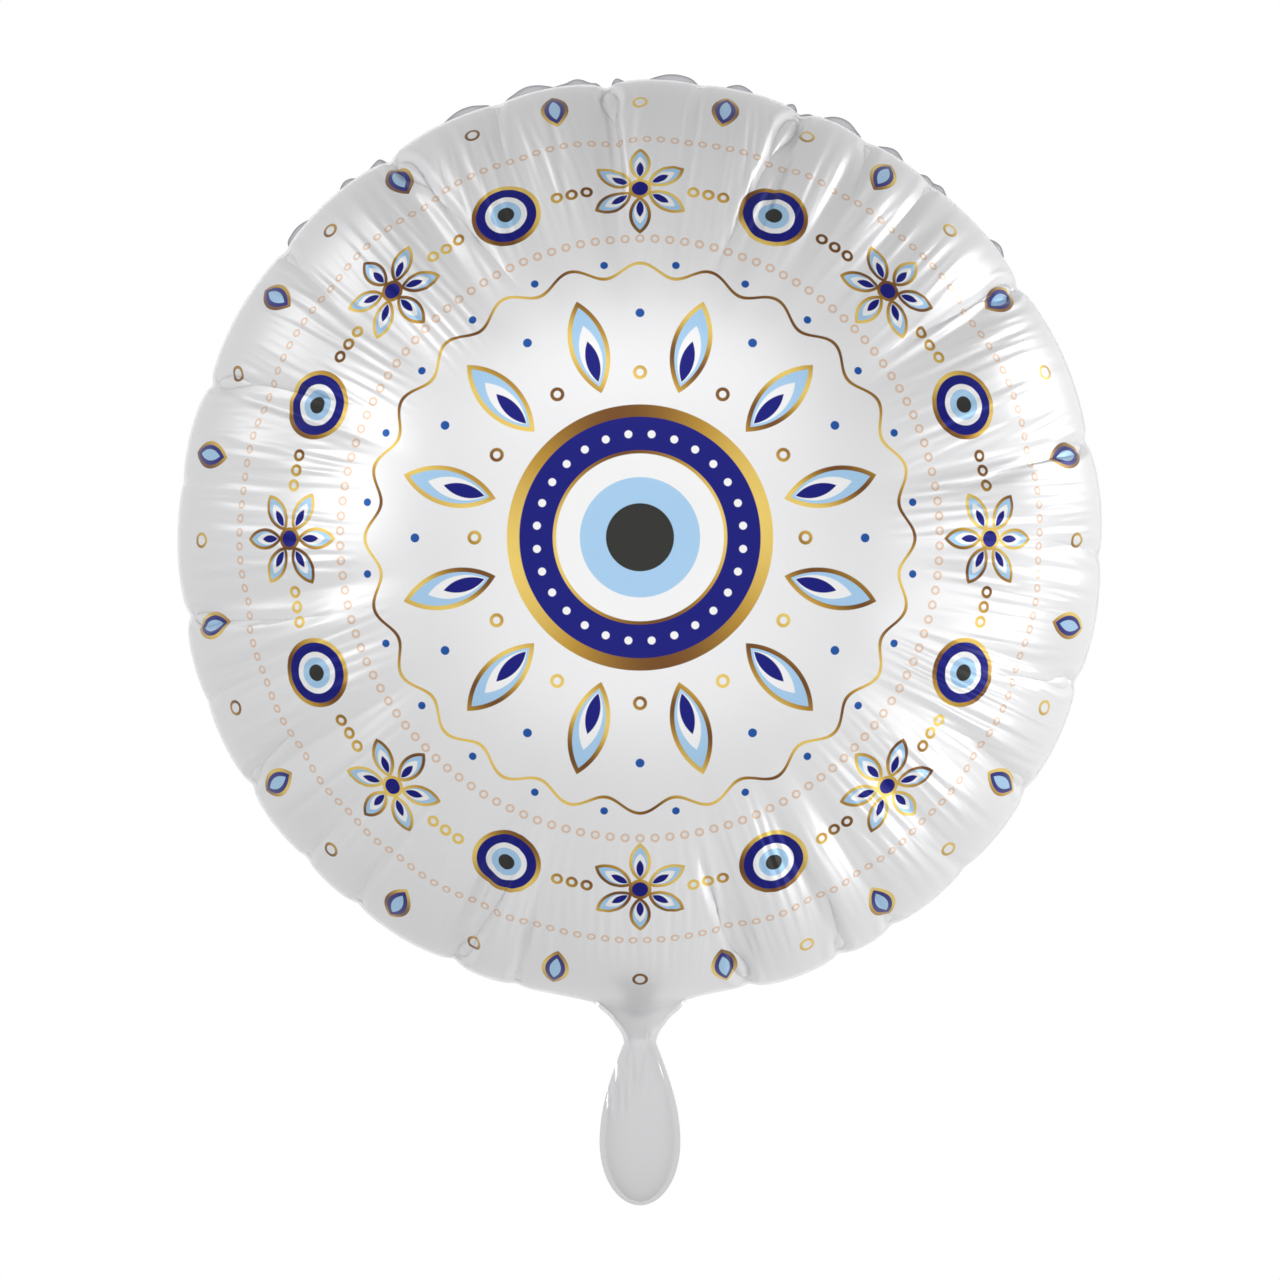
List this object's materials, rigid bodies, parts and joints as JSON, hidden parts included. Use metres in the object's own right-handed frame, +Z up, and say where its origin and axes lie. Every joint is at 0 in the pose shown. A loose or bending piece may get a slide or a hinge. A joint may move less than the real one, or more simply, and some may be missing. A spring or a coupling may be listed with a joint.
{
  "type": "round foil balloon",
  "caption": "Blown round balloon of sealed metallised film with a scalloped rim, a narrow neck, a flat folding filling tail and an inner self-sealing valve sleeve.",
  "frame": {"origin": "middle of the neck's waist, where the tail folds and a ribbon is tied", "axes": "+Z up from the tail to the balloon, -Y out of the printed front, +X to the right seen from the front"},
  "size_m": [0.3433, 0.2046, 0.4161],
  "materials": {
    "printed_film": "satin white metallised film with a printed pattern in gold and blues",
    "silver_film": "bright silver metallised film, unprinted",
    "tail_print": "satin white metallised film, unprinted",
    "tail_silver": "bright silver metallised film, unprinted",
    "valve_film": "thin clear polythene"
  },
  "bodies": {
    "balloon": {"front_panel": "printed_film", "back_panel": "silver_film", "valve_neck_front": "valve_film", "valve_neck_back": "valve_film"},
    "tail": {"tail_front": "tail_print", "tail_back": "tail_silver", "valve_inlet_front": "valve_film", "valve_inlet_back": "valve_film"},
    "valve_front": {"valve_sleeve_front": "valve_film"},
    "valve_back": {"valve_sleeve_back": "valve_film"}
  },
  "joints": [
    {"name": "tail_fold", "type": "hinge", "parent": "balloon", "child": "tail", "pos_m": [0, 0, 0], "axis": [1, 0, 0], "range_deg": [-115, 115]},
    {"name": "valve_open", "type": "hinge", "parent": "balloon", "child": "valve_front", "pos_m": [0, -0.00035, 0.0153], "axis": [1, 0, 0], "range_deg": [0, 8], "stiffness_Nm_per_rad": 0.0001},
    {"name": "valve_back_open", "type": "hinge", "parent": "balloon", "child": "valve_back", "pos_m": [0, 0.00035, 0.0153], "axis": [1, 0, 0], "range_deg": [-8, 0], "stiffness_Nm_per_rad": 0.0001}
  ],
  "couplings": [
    {"joint": "valve_back_open", "follows": "valve_open", "ratio": -1}
  ]
}
